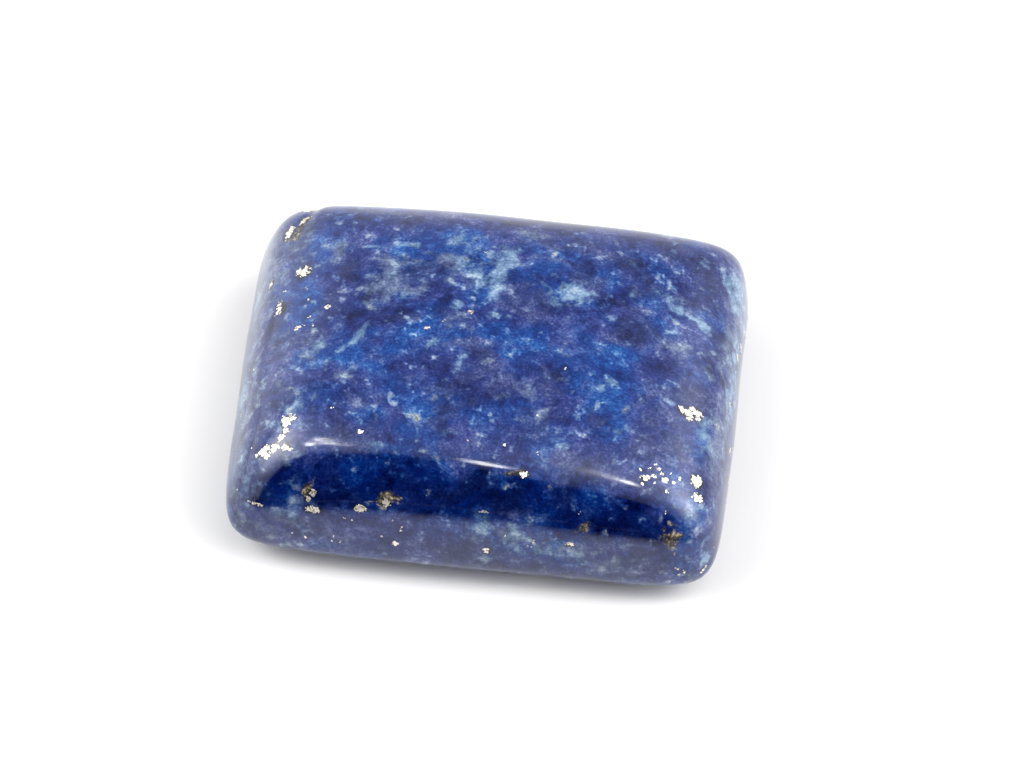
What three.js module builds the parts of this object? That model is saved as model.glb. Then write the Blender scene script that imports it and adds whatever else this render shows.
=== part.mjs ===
import * as THREE from 'three';
import { mergeVertices } from 'three/addons/utils/BufferGeometryUtils.js';

// A polished tablet of lapis lazuli, in millimetres, +Z up: a soft rectangular pillow of stone with drafted
// walls, rounded corners, a gently crowned top and a small flat spot underneath, on which it rests.
// Every point of its surface is found along a ray from the middle of the girdle, the widest line round it.

// Driving dimensions.
const HALF_LENGTH = 12.5; // middle to the two short walls, along X
const HALF_DEPTH = 10.05; // middle to the two long walls, along Y
const TOP_RISE = 5.4; // girdle to the top
const BASE_DROP = 3.2; // girdle to the underside, before its flat spot is ground
const SPOT_DROP = 3.15; // girdle to the flat spot
const GIRDLE_SOFTNESS = 0.15; // how gradually the walls begin to lean in above the girdle

// How crisply two neighbouring faces meet: the power that blends them, 2 for a ball, more for a sharper edge.
const CORNER_POWER = 16; // wall to wall
const SHOULDER_POWER = 4.6; // wall to top
const UNDERSIDE_POWER = 3.6; // wall to underside

// The top is crowned: it drops by these shares of its height towards the short and the long walls.
const CROWN_TO_SHORT_WALLS = 0.194;
const CROWN_TO_LONG_WALLS = 0.08;
const TOP_SLOPE = -0.033; // rise of the top per millimetre along X

// Hand-ground walls: the way each faces, in degrees from +X, its lean back from upright above the girdle, and
// its distance out.
const CORNER_OUT = (HALF_LENGTH + HALF_DEPTH) * Math.SQRT1_2;
const WALLS = [
  { facing: -0.35, lean: 7, out: HALF_LENGTH },
  { facing: 90.25, lean: 13, out: HALF_DEPTH },
  { facing: 181.1, lean: 19.5, out: HALF_LENGTH },
  { facing: 269.4, lean: 11.7, out: HALF_DEPTH },
  { facing: 45, lean: 13, out: 1.051 * CORNER_OUT },
  { facing: 135, lean: 13, out: 1.03 * CORNER_OUT },
  { facing: 225, lean: 13, out: 1.046 * CORNER_OUT },
  { facing: 315, lean: 13, out: 1.005 * CORNER_OUT },
  { facing: 261, lean: 38, out: 10.35 }, // the long soft bevel above the front wall
];

// The faint waves that hand polishing leaves: how they run, in radians per millimetre, and where they start.
const WAVE_HEIGHT = 0.014;
const WAVES = [
  { run: new THREE.Vector3(0.55, 0.9, 0.3), start: 1.3 },
  { run: new THREE.Vector3(0.8, -0.45, 0.7), start: 4.1 },
  { run: new THREE.Vector3(-0.35, 0.7, 0.9), start: 2.2 },
];

// A healed crack, polished to a shallow groove, along the left shoulder from the back wall.
const SEAM = new THREE.Line3(new THREE.Vector3(-9.9, 10.2, 0), new THREE.Vector3(-11.3, 4.2, 0));
const SEAM_DEPTH = 0.22;
const SEAM_HALF_WIDTH = 0.4;

// Cells of the surface grid along the length, depth and height, and how far they crowd towards the edges.
const CELLS = { long: 32, deep: 26, high: 14 };
const CROWDING = 0.2;

const LAPIS_COLOUR = 0x3e488c;
const LAPIS_ROUGHNESS = 0.12;

function outwardNormal({ facing, lean }) {
  const turn = THREE.MathUtils.degToRad(facing);
  const tilt = THREE.MathUtils.degToRad(lean);
  return new THREE.Vector3(Math.cos(turn) * Math.cos(tilt), Math.sin(turn) * Math.cos(tilt), Math.sin(tilt));
}

const WALL_PLANES = WALLS.map((wall) => ({ normal: outwardNormal(wall), out: wall.out }));

function blend(power, values) {
  return values.reduce((sum, value) => sum + Math.max(0, value) ** power, 0) ** (1 / power);
}

// Each face's share of its distance that one millimetre along the ray covers; blended, it is 1 on the stone.
// The walls lean only above the girdle: below it the ray's fall is left out, and they stand upright.
function reachPerMillimetre(ray) {
  const climb = (ray.z + Math.hypot(ray.z, GIRDLE_SOFTNESS)) / 2;
  const climbingRay = new THREE.Vector3(ray.x, ray.y, climb);
  const walls = blend(CORNER_POWER, WALL_PLANES.map(({ normal, out }) => normal.dot(climbingRay) / out));
  if (ray.z > 0) {
    return blend(SHOULDER_POWER, [walls, (ray.z - TOP_SLOPE * ray.x) / TOP_RISE]);
  }
  return blend(UNDERSIDE_POWER, [walls, -ray.z / BASE_DROP]);
}

function polishWave(point) {
  const sum = WAVES.reduce((total, { run, start }) => total + Math.sin(run.dot(point) + start), 0);
  return WAVE_HEIGHT * sum;
}

function seamCut(point) {
  const onFloor = new THREE.Vector3(point.x, point.y, 0);
  const along = SEAM.closestPointToPointParameter(onFloor, true);
  const nearest = SEAM.at(along, new THREE.Vector3());
  const aside = onFloor.distanceTo(nearest) / SEAM_HALF_WIDTH;
  return SEAM_DEPTH * (1 - along) * Math.exp(-aside * aside);
}

function crownAt(point) {
  const towardShort = CROWN_TO_SHORT_WALLS * (point.x / HALF_LENGTH) ** 2;
  const towardLong = CROWN_TO_LONG_WALLS * (point.y / HALF_DEPTH) ** 2;
  return 1 - towardShort - towardLong;
}

function surfacePoint(ray) {
  const point = ray.clone().divideScalar(reachPerMillimetre(ray));
  point.addScaledVector(ray, polishWave(point));
  if (ray.z > 0) {
    point.z *= crownAt(point);
    return point.addScaledVector(ray, -seamCut(point));
  }
  return point.multiplyScalar(Math.min(1, SPOT_DROP / -point.z));
}

// A grid line's place from -1 to 1, moved towards the nearer edge, where the stone curves most.
function crowd(place) {
  return place * (1 + CROWDING * (1 - place * place));
}

function cubeToRay(corner) {
  const z = THREE.MathUtils.mapLinear(crowd(corner.z), -1, 1, -BASE_DROP, TOP_RISE);
  return new THREE.Vector3(HALF_LENGTH * crowd(corner.x), HALF_DEPTH * crowd(corner.y), z).normalize();
}

function stoneGeometry() {
  const cube = new THREE.BoxGeometry(2, 2, 2, CELLS.long, CELLS.deep, CELLS.high);
  cube.deleteAttribute('normal');
  cube.deleteAttribute('uv');
  const geometry = mergeVertices(cube);
  const positions = geometry.getAttribute('position');
  const corner = new THREE.Vector3();
  for (let i = 0; i < positions.count; i += 1) {
    corner.fromBufferAttribute(positions, i);
    const point = surfacePoint(cubeToRay(corner));
    positions.setXYZ(i, point.x, point.y, point.z);
  }
  return standOnFloor(geometry);
}

// The stone stands with its flat spot at Z 0 and the middle of its outline over the origin.
function standOnFloor(geometry) {
  geometry.computeBoundingBox();
  const middle = geometry.boundingBox.getCenter(new THREE.Vector3());
  geometry.translate(-middle.x, -middle.y, -geometry.boundingBox.min.z);
  geometry.computeVertexNormals();
  return geometry;
}

function lapisMaterial() {
  return new THREE.MeshStandardMaterial({
    color: LAPIS_COLOUR,
    roughness: LAPIS_ROUGHNESS,
    metalness: 0,
  });
}

const stone = new THREE.Mesh(stoneGeometry(), lapisMaterial());
stone.name = 'lapis_stone';

const tablet = new THREE.Group();
tablet.add(stone);

export default tablet;
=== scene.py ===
import math
import random
from collections import namedtuple

import bpy
import numpy as np
from mathutils import Matrix, Vector
from mathutils.bvhtree import BVHTree
from mathutils.noise import noise_vector, seed_set


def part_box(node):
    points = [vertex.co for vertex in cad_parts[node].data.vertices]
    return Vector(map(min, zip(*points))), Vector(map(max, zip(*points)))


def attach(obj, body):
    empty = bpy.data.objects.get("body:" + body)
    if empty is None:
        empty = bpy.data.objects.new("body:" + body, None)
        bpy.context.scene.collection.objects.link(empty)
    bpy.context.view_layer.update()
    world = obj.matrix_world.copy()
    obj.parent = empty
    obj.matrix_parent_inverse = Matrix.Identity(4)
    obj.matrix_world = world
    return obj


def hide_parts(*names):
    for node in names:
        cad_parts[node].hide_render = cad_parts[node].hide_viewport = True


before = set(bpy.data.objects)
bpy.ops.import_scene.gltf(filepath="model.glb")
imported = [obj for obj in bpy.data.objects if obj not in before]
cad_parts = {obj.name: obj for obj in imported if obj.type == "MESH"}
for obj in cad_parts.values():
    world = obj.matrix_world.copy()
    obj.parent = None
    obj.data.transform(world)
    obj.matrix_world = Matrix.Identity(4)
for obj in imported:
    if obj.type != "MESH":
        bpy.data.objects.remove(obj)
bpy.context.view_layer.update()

# A polished tablet of lapis lazuli, lying on its flat spot, with its markings and its pyrite.
# The stone's own sizes are in millimetres, as in its source; everything in the scene is in metres.

MM = 0.001
STONE_NODE = "lapis_stone"
BODY = "root"

# ---- The stone's shape, by the same rule and sizes as the solid --------------------------------------

# The numbers that the shape's tree is given. A power is how crisply two neighbouring faces meet: 2 for a
# ball, more for a sharper edge.
SHAPE = {
    "Half length": 12.5,  # middle to the two short walls, along X
    "Half depth": 10.05,  # middle to the two long walls, along Y
    "Top rise": 5.4,  # girdle, the widest line round the stone, to the top
    "Base drop": 3.2,  # girdle to the underside, before its flat spot is ground
    "Spot drop": 3.15,  # girdle to the flat spot
    "Girdle softness": 0.15,  # how gradually the walls begin to lean in above the girdle
    "Corner power": 16.0,  # wall to wall
    "Shoulder power": 4.6,  # wall to top
    "Underside power": 3.6,  # wall to underside
    "Top slope": -0.033,  # rise of the top per millimetre along X
    "Wave height": 0.014,
    "Seam depth": 0.22,
}

# The top is crowned: it drops by these shares of its height towards the short and the long walls.
CROWN_TO_SHORT_WALLS = 0.194
CROWN_TO_LONG_WALLS = 0.08

# A healed crack, polished to a shallow groove, along the left shoulder from the back wall.
SEAM_START = Vector((-9.9, 10.2))
SEAM_END = Vector((-11.3, 4.2))
SEAM_HALF_WIDTH = 0.4

# A hand-ground wall: the way it faces and its lean back from upright, in degrees, and how far out it
# stands, as shares of the half length and the half depth.
Wall = namedtuple("Wall", "facing lean of_length of_depth")
CORNER_LEAN = 13
DIAGONAL = math.sqrt(0.5)


def corner_wall(facing, out):
    """A facet across a corner; out is its distance, as a share of the sharp corner's."""
    return Wall(facing, CORNER_LEAN, out * DIAGONAL, out * DIAGONAL)


WALLS = [
    Wall(-0.35, 7, 1, 0),
    Wall(90.25, 13, 0, 1),
    Wall(181.1, 19.5, 1, 0),
    Wall(269.4, 11.7, 0, 1),
    corner_wall(45, 1.051),
    corner_wall(135, 1.03),
    corner_wall(225, 1.046),
    corner_wall(315, 1.005),
    Wall(261, 38, 0, 1.03),  # the long soft bevel above the front wall
]

# A faint wave left by hand polishing: how it runs, in radians per millimetre, and where it starts.
Wave = namedtuple("Wave", "run start")
WAVES = [
    Wave(Vector((0.55, 0.9, 0.3)), 1.3),
    Wave(Vector((0.8, -0.45, 0.7)), 4.1),
    Wave(Vector((-0.35, 0.7, 0.9)), 2.2),
]

CELLS = {"Vertices X": 157, "Vertices Y": 129, "Vertices Z": 65}
CROWDING = 0.2  # how far the grid's lines move towards the edges
GRAIN_ROOM = 0.03 * MM  # the stone stays this far inside its box, so that grains may stand proud of it


# ---- Node trees, written as expressions --------------------------------------------------------------

def opaque(shade):
    return (*shade, 1)


def find_socket(sockets, key):
    """A node's socket by its place among those in use, or by its name."""
    in_use = [socket for socket in sockets if socket.enabled]
    if isinstance(key, int):
        return in_use[key]
    return next(socket for socket in in_use if socket.name == key)


class Graph:
    """A node tree that grows by one method."""

    def __init__(self, tree):
        self.tree = tree

    def add(self, kind, settings=None, inputs=None, output=0):
        """Adds a node, its settings first and then its sockets, and returns one of its outputs."""
        node = self.tree.nodes.new(kind)
        for name, setting in (settings or {}).items():
            if name == "stops":
                place_stops(node.color_ramp, setting)
            else:
                setattr(node, name, setting)
        for key, given in (inputs or {}).items():
            socket = find_socket(node.inputs, key)
            if isinstance(given, Value):
                self.tree.links.new(given.socket, socket)
            elif isinstance(given, list):
                for each in given:
                    self.tree.links.new(each.socket, socket)
            else:
                socket.default_value = given
        if not node.outputs:
            return node
        return Value(self, find_socket(node.outputs, output))


def place_stops(ramp, stops):
    """Sets a colour ramp to these stops."""
    while len(ramp.elements) > 1:
        ramp.elements.remove(ramp.elements[-1])
    for index, stop in enumerate(stops):
        element = ramp.elements[0] if index == 0 else ramp.elements.new(stop.place)
        element.position = stop.place
        element.color = opaque(stop.colour)


class Value:
    """A socket; arithmetic on it adds Math nodes."""

    def __init__(self, graph, socket):
        self.graph = graph
        self.socket = socket

    def math(self, operation, *values):
        return self.graph.add("ShaderNodeMath", {"operation": operation}, dict(enumerate(values)))

    def __add__(self, other):
        return self.math("ADD", self, other)

    __radd__ = __add__

    def __sub__(self, other):
        return self.math("SUBTRACT", self, other)

    def __rsub__(self, other):
        return self.math("SUBTRACT", other, self)

    def __mul__(self, other):
        return self.math("MULTIPLY", self, other)

    __rmul__ = __mul__

    def __truediv__(self, other):
        return self.math("DIVIDE", self, other)

    def __rtruediv__(self, other):
        return self.math("DIVIDE", other, self)

    def __pow__(self, other):
        return self.math("POWER", self, other)

    def __neg__(self):
        return self.math("MULTIPLY", self, -1)

    def at_least(self, other):
        return self.math("MAXIMUM", self, other)

    def at_most(self, other):
        return self.math("MINIMUM", self, other)

    def above(self, other):
        return self.math("GREATER_THAN", self, other)

    def sine(self):
        return self.math("SINE", self)

    def cosine(self):
        return self.math("COSINE", self)

    def exponential(self):
        return self.math("EXPONENT", self)

    def step(self, low, high):
        """Zero below low, one above high, and a smooth rise between them."""
        ends = {"Value": self, "From Min": low, "From Max": high}
        return self.graph.add("ShaderNodeMapRange", {"interpolation_type": "SMOOTHSTEP"}, ends)


def split(graph, vector):
    """The three parts of a vector."""
    node = graph.add("ShaderNodeSeparateXYZ", inputs={"Vector": vector}).socket.node
    return [Value(graph, socket) for socket in node.outputs]


def join(graph, x, y, z):
    return graph.add("ShaderNodeCombineXYZ", inputs={"X": x, "Y": y, "Z": z})


def length_of(*parts):
    return sum(part * part for part in parts) ** 0.5


def vector_math(graph, operation, *vectors, output=0):
    return graph.add("ShaderNodeVectorMath", {"operation": operation}, dict(enumerate(vectors)), output)


def scaled(graph, vector, by):
    return graph.add("ShaderNodeVectorMath", {"operation": "SCALE"}, {"Vector": vector, "Scale": by})


def dot(fixed, parts):
    """The dot product of a fixed vector with three values."""
    return sum(part * share for part, share in zip(parts, fixed))


# ---- Geometry Nodes: running a tree ------------------------------------------------------------------

def geometry_tree(name, inputs):
    """A new tree for a modifier, its graph, and a dictionary of its named inputs."""
    tree = bpy.data.node_groups.new(name, "GeometryNodeTree")
    tree.is_modifier = True
    tree.interface.new_socket("Geometry", in_out="INPUT", socket_type="NodeSocketGeometry")
    for label, socket_type in inputs.items():
        tree.interface.new_socket(label, in_out="INPUT", socket_type=socket_type)
    tree.interface.new_socket("Geometry", in_out="OUTPUT", socket_type="NodeSocketGeometry")
    graph = Graph(tree)
    group = graph.add("NodeGroupInput").socket.node
    given = {socket.name: Value(graph, socket) for socket in group.outputs if socket.name}
    return graph, given


def end_tree(graph, geometry, material):
    """Ends a tree in Realize Instances and Set Material."""
    real = graph.add("GeometryNodeRealizeInstances", inputs={"Geometry": geometry})
    painted = graph.add("GeometryNodeSetMaterial", inputs={"Geometry": real, "Material": material})
    graph.add("NodeGroupOutput", inputs={"Geometry": painted})


def grow(name, start, graph, sizes):
    """Runs a tree on a mesh, with its inputs set by name, and keeps the result as a plain mesh."""
    piece = bpy.data.objects.new(name, start)
    bpy.context.scene.collection.objects.link(piece)
    modifier = piece.modifiers.new(name, "NODES")
    modifier.node_group = graph.tree
    for item in graph.tree.interface.items_tree:
        if item.in_out == "INPUT" and item.name in sizes:
            modifier[item.identifier] = sizes[item.name]
    depsgraph = bpy.context.evaluated_depsgraph_get()
    made = bpy.data.meshes.new_from_object(piece.evaluated_get(depsgraph), depsgraph=depsgraph)
    piece.modifiers.clear()
    piece.data = made
    made.name = name
    return piece


# ---- The stone ---------------------------------------------------------------------------------------

def outward_normal(wall):
    turn = math.radians(wall.facing)
    tilt = math.radians(wall.lean)
    return Vector((math.cos(turn) * math.cos(tilt), math.sin(turn) * math.cos(tilt), math.sin(tilt)))


def blend(power, values):
    """The greatest of the values, more closely so as the power rises."""
    return sum(value.at_least(0) ** power for value in values) ** (1 / power)


def reach_per_millimetre(ray, given):
    """Each face's share of its distance that a millimetre along the ray covers, blended."""
    x, y, z = ray
    climb = (z + length_of(z, given["Girdle softness"])) / 2
    shares = []
    for wall in WALLS:
        out = given["Half length"] * wall.of_length + given["Half depth"] * wall.of_depth
        shares.append(dot(outward_normal(wall), (x, y, climb)) / out)
    walls = blend(given["Corner power"], shares)
    top = (z - x * given["Top slope"]) / given["Top rise"]
    over = blend(given["Shoulder power"], [walls, top])
    under = blend(given["Underside power"], [walls, -z / given["Base drop"]])
    above = z.above(0)
    return over * above + under * (1 - above)


def polish_wave(point, height):
    return height * sum((dot(wave.run, point) + wave.start).sine() for wave in WAVES)


def seam_cut(x, y, depth):
    """How deep the healed crack is cut here: deepest at the back wall, and gone at its other end."""
    run = SEAM_END - SEAM_START
    from_start = (x - SEAM_START.x, y - SEAM_START.y)
    along = (dot(run, from_start) / run.length_squared).at_least(0).at_most(1)
    aside_x = (from_start[0] - along * run.x) / SEAM_HALF_WIDTH
    aside_y = (from_start[1] - along * run.y) / SEAM_HALF_WIDTH
    return depth * (1 - along) * (-(aside_x * aside_x + aside_y * aside_y)).exponential()


def crowd(place):
    """A grid line's place from -1 to 1, moved towards the nearer edge, where the stone curves most."""
    return place * (1 + CROWDING * (1 - place * place))


def surface_point(corner, given):
    """The point of the surface on the ray from the middle of the girdle through a point of the cube."""
    x = crowd(corner[0]) * given["Half length"]
    y = crowd(corner[1]) * given["Half depth"]
    middle = (given["Top rise"] - given["Base drop"]) / 2
    z = middle + crowd(corner[2]) * (given["Top rise"] + given["Base drop"]) / 2
    size = length_of(x, y, z)
    ray = (x / size, y / size, z / size)
    reach = reach_per_millimetre(ray, given)
    point = [part / reach for part in ray]
    wave = polish_wave(point, given["Wave height"])
    point = [part + along * wave for part, along in zip(point, ray)]
    above = ray[2].above(0)
    to_short = (point[0] / given["Half length"]) ** 2 * CROWN_TO_SHORT_WALLS
    to_long = (point[1] / given["Half depth"]) ** 2 * CROWN_TO_LONG_WALLS
    point[2] = point[2] * (1 - above * (to_short + to_long))
    cut = seam_cut(point[0], point[1], given["Seam depth"]) * above
    point = [part - along * cut for part, along in zip(point, ray)]
    drop = (-point[2]).at_least(given["Spot drop"])
    keep = given["Spot drop"] / drop
    return [part * keep for part in point]


def build_stone(material):
    """The stone as one closed skin: a gridded cube pushed out to the tablet's faces."""
    kinds = {label: "NodeSocketFloat" for label in SHAPE}
    graph, given = geometry_tree("tablet_shape", {**kinds, "Material": "NodeSocketMaterial"})
    cube = graph.add("GeometryNodeMeshCube", inputs={"Size": (2, 2, 2), **CELLS})
    corner = split(graph, graph.add("GeometryNodeInputPosition"))
    place = join(graph, *surface_point(corner, given))
    moved = graph.add("GeometryNodeSetPosition", inputs={"Geometry": cube, "Position": place})
    smooth = graph.add("GeometryNodeSetShadeSmooth", inputs={"Geometry": moved, "Shade Smooth": True})
    end_tree(graph, smooth, given["Material"])
    sizes = {**SHAPE, "Material": material}
    stone = grow("polished_stone", bpy.data.meshes.new("start"), graph, sizes)
    fit_into_box(stone.data)
    return stone


def fit_into_box(mesh):
    """Sets the mesh down on the floor, inside the solid's box, with room for proud grains."""
    low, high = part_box(STONE_NODE)
    low += Vector((GRAIN_ROOM, GRAIN_ROOM, 0))
    high -= Vector((GRAIN_ROOM, GRAIN_ROOM, GRAIN_ROOM))
    points = vertex_array(mesh)
    own_low = Vector(points.min(axis=0))
    own_high = Vector(points.max(axis=0))
    factors = [(high[i] - low[i]) / (own_high[i] - own_low[i]) for i in range(3)]
    scale = Matrix.Diagonal(factors).to_4x4()
    mesh.transform(Matrix.Translation(low) @ scale @ Matrix.Translation(-own_low))


def vertex_array(mesh):
    """The mesh's points as rows of three numbers."""
    flat = np.empty(len(mesh.vertices) * 3)
    mesh.vertices.foreach_get("co", flat)
    return flat.reshape(-1, 3)


# ---- Where the markings are --------------------------------------------------------------------------

# A side of the stone that markings are placed on: the two directions that they are measured along, and the
# way in. All sizes and places of markings are in millimetres.
Side = namedtuple("Side", "across up inward")
TOP = Side(Vector((1, 0, 0)), Vector((0, 1, 0)), Vector((0, 0, -1)))
FRONT = Side(Vector((1, 0, 0)), Vector((0, 0, 1)), Vector((0, 1, 0)))
LEFT = Side(Vector((0, 1, 0)), Vector((0, 0, 1)), Vector((1, 0, 0)))
RIGHT = Side(Vector((0, 1, 0)), Vector((0, 0, 1)), Vector((-1, 0, 0)))
BACK = Side(Vector((1, 0, 0)), Vector((0, 0, 1)), Vector((0, -1, 0)))
UNDER = Side(Vector((1, 0, 0)), Vector((0, 1, 0)), Vector((0, 0, 1)))
FAR_OUT = 50 * MM  # where the search for a marking's place on the skin starts

# A marking: its middle, its half sizes, its strength, and its turn from the side's first direction, in
# degrees.
Spot = namedtuple("Spot", "side across up long wide strength turn", defaults=[1, 0])


def spots_on(side, rows):
    """Spots on one side: for each its middle, its half sizes, and perhaps its strength and its turn."""
    return [Spot(side, *row) for row in rows]


PALE = (  # bluish white calcite
    spots_on(TOP, [
        (0.3, 3.6, 1.4, 0.35, 1, 62), (0.45, 4.5, 0.55, 0.75), (-0.8, 2.9, 0.75, 0.22, 0.8, 68),
        (-1.7, 5.6, 1.0, 0.5, 0.55), (4.2, 2.8, 0.95, 0.4, 1, 10), (9.1, 3.4, 0.75, 0.33, 1, -15),
        (10.5, 2.75, 0.75, 0.2, 1, -25), (9.15, 1.65, 0.4, 0.12, 0.9), (6.15, 1.65, 0.25, 0.13, 0.8),
        (7.0, 3.4, 0.2, 0.12, 0.6), (-4.6, 5.3, 0.5, 0.18, 0.9), (-6.5, 5.15, 0.55, 0.1, 0.8, 5),
        (-6.4, 3.0, 0.4, 0.12, 0.8, 20), (-3.85, 1.6, 0.3, 0.22, 0.9), (-6.0, 2.9, 0.2, 0.15, 0.6),
        (-6.6, -1.15, 0.75, 0.22, 1, 68), (-1.6, 1.2, 0.3, 0.2, 1, 30), (-0.9, 1.3, 0.2, 0.12, 0.8, 60),
        (-2.7, -1.3, 0.35, 0.2, 0.9, 20), (-1.1, -2.3, 0.4, 0.17, 0.8, 60),
        (-3.5, -1.8, 0.3, 0.14, 0.7, 30), (-8.5, -1.2, 0.5, 0.12, 0.7, 45),
        (-7.9, -2.6, 0.5, 0.1, 0.6, 30), (-6.3, -3.0, 0.35, 0.14, 0.6, 30), (6.5, -2.3, 0.3, 0.2, 0.9),
        (6.0, -2.9, 0.3, 0.25, 0.8), (-4.6, -7.2, 0.5, 0.25, 0.8), (3.0, -4.9, 0.22, 0.07, 0.9, 60),
        (9.6, -2.75, 0.35, 0.12, 0.8), (7.5, -5.1, 0.5, 0.3, 0.5), (4.6, -6.5, 0.5, 0.3, 0.5),
        (-9.2, -5.6, 1.2, 0.6, 0.4, 50), (11.3, -3.8, 0.5, 0.9, 0.6), (10.9, -8.7, 0.7, 0.4, 0.6),
        (-11.4, -8.0, 0.6, 0.9, 0.5), (-1.2, 4.35, 1.1, 0.5, 0.6), (-1.2, 3.5, 0.45, 0.35, 0.7),
        (0.1, 2.6, 0.35, 0.8, 0.7), (-5.5, 3.0, 0.5, 0.4, 0.4), (-4.5, 1.65, 0.35, 0.25, 0.8, 20),
        (-8.6, -1.6, 0.45, 0.3, 0.6, 60), (0.05, 0.7, 0.35, 0.2, 0.6, 20),
    ])
    + spots_on(FRONT, [
        (0.65, 4.8, 0.55, 0.45), (0.6, 5.5, 0.45, 0.25, 0.7), (2.6, 4.5, 0.6, 0.7, 0.6),
        (3.8, 3.75, 0.5, 0.25, 0.7), (5.3, 3.7, 0.6, 0.35, 0.8), (6.3, 3.4, 0.5, 0.35, 0.6),
        (1.2, 2.9, 0.6, 0.2, 0.6), (-8.8, 4.2, 0.2, 0.15, 0.8), (-4.0, 2.3, 0.12, 0.1, 0.9),
        (12.0, 3.3, 0.3, 0.3, 0.8), (9.5, 1.6, 0.9, 0.25, 0.5, 10),
    ])
    + spots_on(RIGHT, [
        (2.5, 5.6, 1.6, 0.2, 0.4), (-1.2, 5.0, 1.3, 0.2, 0.5),
    ])
)
AZURE = (  # clear bright blue
    spots_on(TOP, [
        (-9.6, 2.0, 0.9, 1.1, 0.9), (-8.6, -2.3, 0.8, 0.4, 1, 20), (-5.8, -0.9, 0.7, 0.35, 1, 20),
        (-6.7, -2.2, 0.7, 0.4), (-5.5, -2.8, 0.5, 0.35), (-3.9, -0.7, 0.6, 0.3, 1, 20),
        (-4.7, -1.7, 0.6, 0.3), (-4.7, 4.8, 0.45, 0.5), (-1.9, 5.5, 1.5, 0.8, 0.9),
        (-0.6, 4.4, 0.9, 0.5, 0.7), (2.2, 4.4, 0.7, 0.5), (3.5, 5.6, 0.6, 0.3, 0.8), (3.4, 2.9, 0.6, 0.5),
        (4.9, 2.3, 0.7, 0.3, 0.8), (1.3, -0.5, 1.6, 0.7, 1, -10), (0.9, -1.4, 0.8, 0.3, 0.8),
        (-1.2, -0.6, 0.6, 0.3, 0.8), (6.9, -0.5, 0.7, 0.5), (6.3, -2.5, 0.95, 1.4),
        (4.8, -2.3, 0.5, 0.3, 0.7), (7.0, -5.0, 0.9, 0.6, 0.8), (4.5, -6.3, 0.8, 0.5, 0.8),
        (-3.7, -6.2, 0.7, 0.4, 0.8), (-8.0, -4.2, 0.7, 0.5, 0.7), (-5.3, -5.4, 0.6, 0.4, 0.7),
        (-9.3, -5.9, 0.5, 0.5, 0.7), (10.6, 3.0, 1.0, 0.7, 0.8), (11.6, 3.2, 0.5, 1.0, 0.7),
        (11.4, -4.2, 0.6, 1.2, 0.8), (11.2, -8.6, 0.8, 0.7, 0.8), (-5.6, -8.2, 0.6, 0.5),
        (-4.4, -7.6, 0.5, 0.35), (6.2, -8.6, 0.6, 0.4), (2.0, -8.2, 0.9, 0.3, 0.8, -10),
    ])
    + spots_on(FRONT, [
        (-8.7, 5.6, 0.7, 0.5, 0.6), (-8.9, 4.3, 0.3, 0.25, 0.8), (-1.5, 5.9, 3.0, 0.4, 0.6),
        (0.6, 5.1, 0.9, 0.6, 0.9), (11.0, 4.6, 1.2, 0.8, 0.7), (3.0, 4.8, 1.2, 0.6, 0.6, -15),
    ])
)
MIST = (  # greenish grey
    spots_on(TOP, [
        (-5.1, 3.2, 0.75, 1.5, 1, 5), (-5.8, 2.2, 0.9, 1.0, 0.9), (-2.4, 4.3, 1.0, 0.7, 0.8),
        (7.2, 3.7, 0.3, 0.3, 0.8), (-3.9, 2.2, 0.7, 0.5, 0.8), (-8.7, -1.8, 0.5, 1.0, 0.7),
        (-8.1, 4.8, 0.4, 0.8, 0.9, -15), (-2.3, 3.1, 0.35, 0.5, 0.7), (-1.2, 4.2, 1.2, 0.4, 0.7, 20),
        (0.3, 3.9, 0.7, 0.9, 0.8), (1.6, 7.0, 0.9, 0.4, 0.8), (4.6, 2.9, 0.8, 0.3, 0.6),
        (9.9, 3.3, 0.8, 0.4, 0.8, -20), (9.6, 0.7, 0.8, 0.35, 0.9), (11.2, 0.2, 0.4, 0.8, 0.7),
        (-1.9, 0.3, 0.5, 0.35, 0.8), (-6.9, -3.4, 0.5, 0.3, 0.7), (3.1, -4.9, 0.3, 0.45, 0.9),
        (2.2, -3.6, 0.5, 0.3, 0.6), (8.4, -4.0, 0.8, 1.2, 0.4), (-9.0, -7.6, 0.9, 0.5, 0.6, 40),
    ])
    + spots_on(FRONT, [
        (-8.4, 5.65, 0.6, 0.35, 0.7), (-8.0, 5.1, 1.0, 0.4, 0.7), (2.6, 4.6, 1.1, 0.3, 0.8, -15),
        (5.7, 4.0, 1.6, 0.4, 1, -25), (7.6, 2.9, 1.2, 0.25, 0.7, -20), (11.5, 2.4, 0.5, 0.4, 0.8),
    ])
    # painted reflection: these large spots grey the whole left and right walls, standing in for the bright
    # floor that the polish mirrors there
    + spots_on(LEFT, [
        (5.0, 5.0, 4.0, 2.0), (-3.0, 4.4, 6.5, 1.8),
    ])
    + spots_on(RIGHT, [
        (0.5, 5.0, 8.0, 1.4, 0.8),
    ])
)
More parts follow.
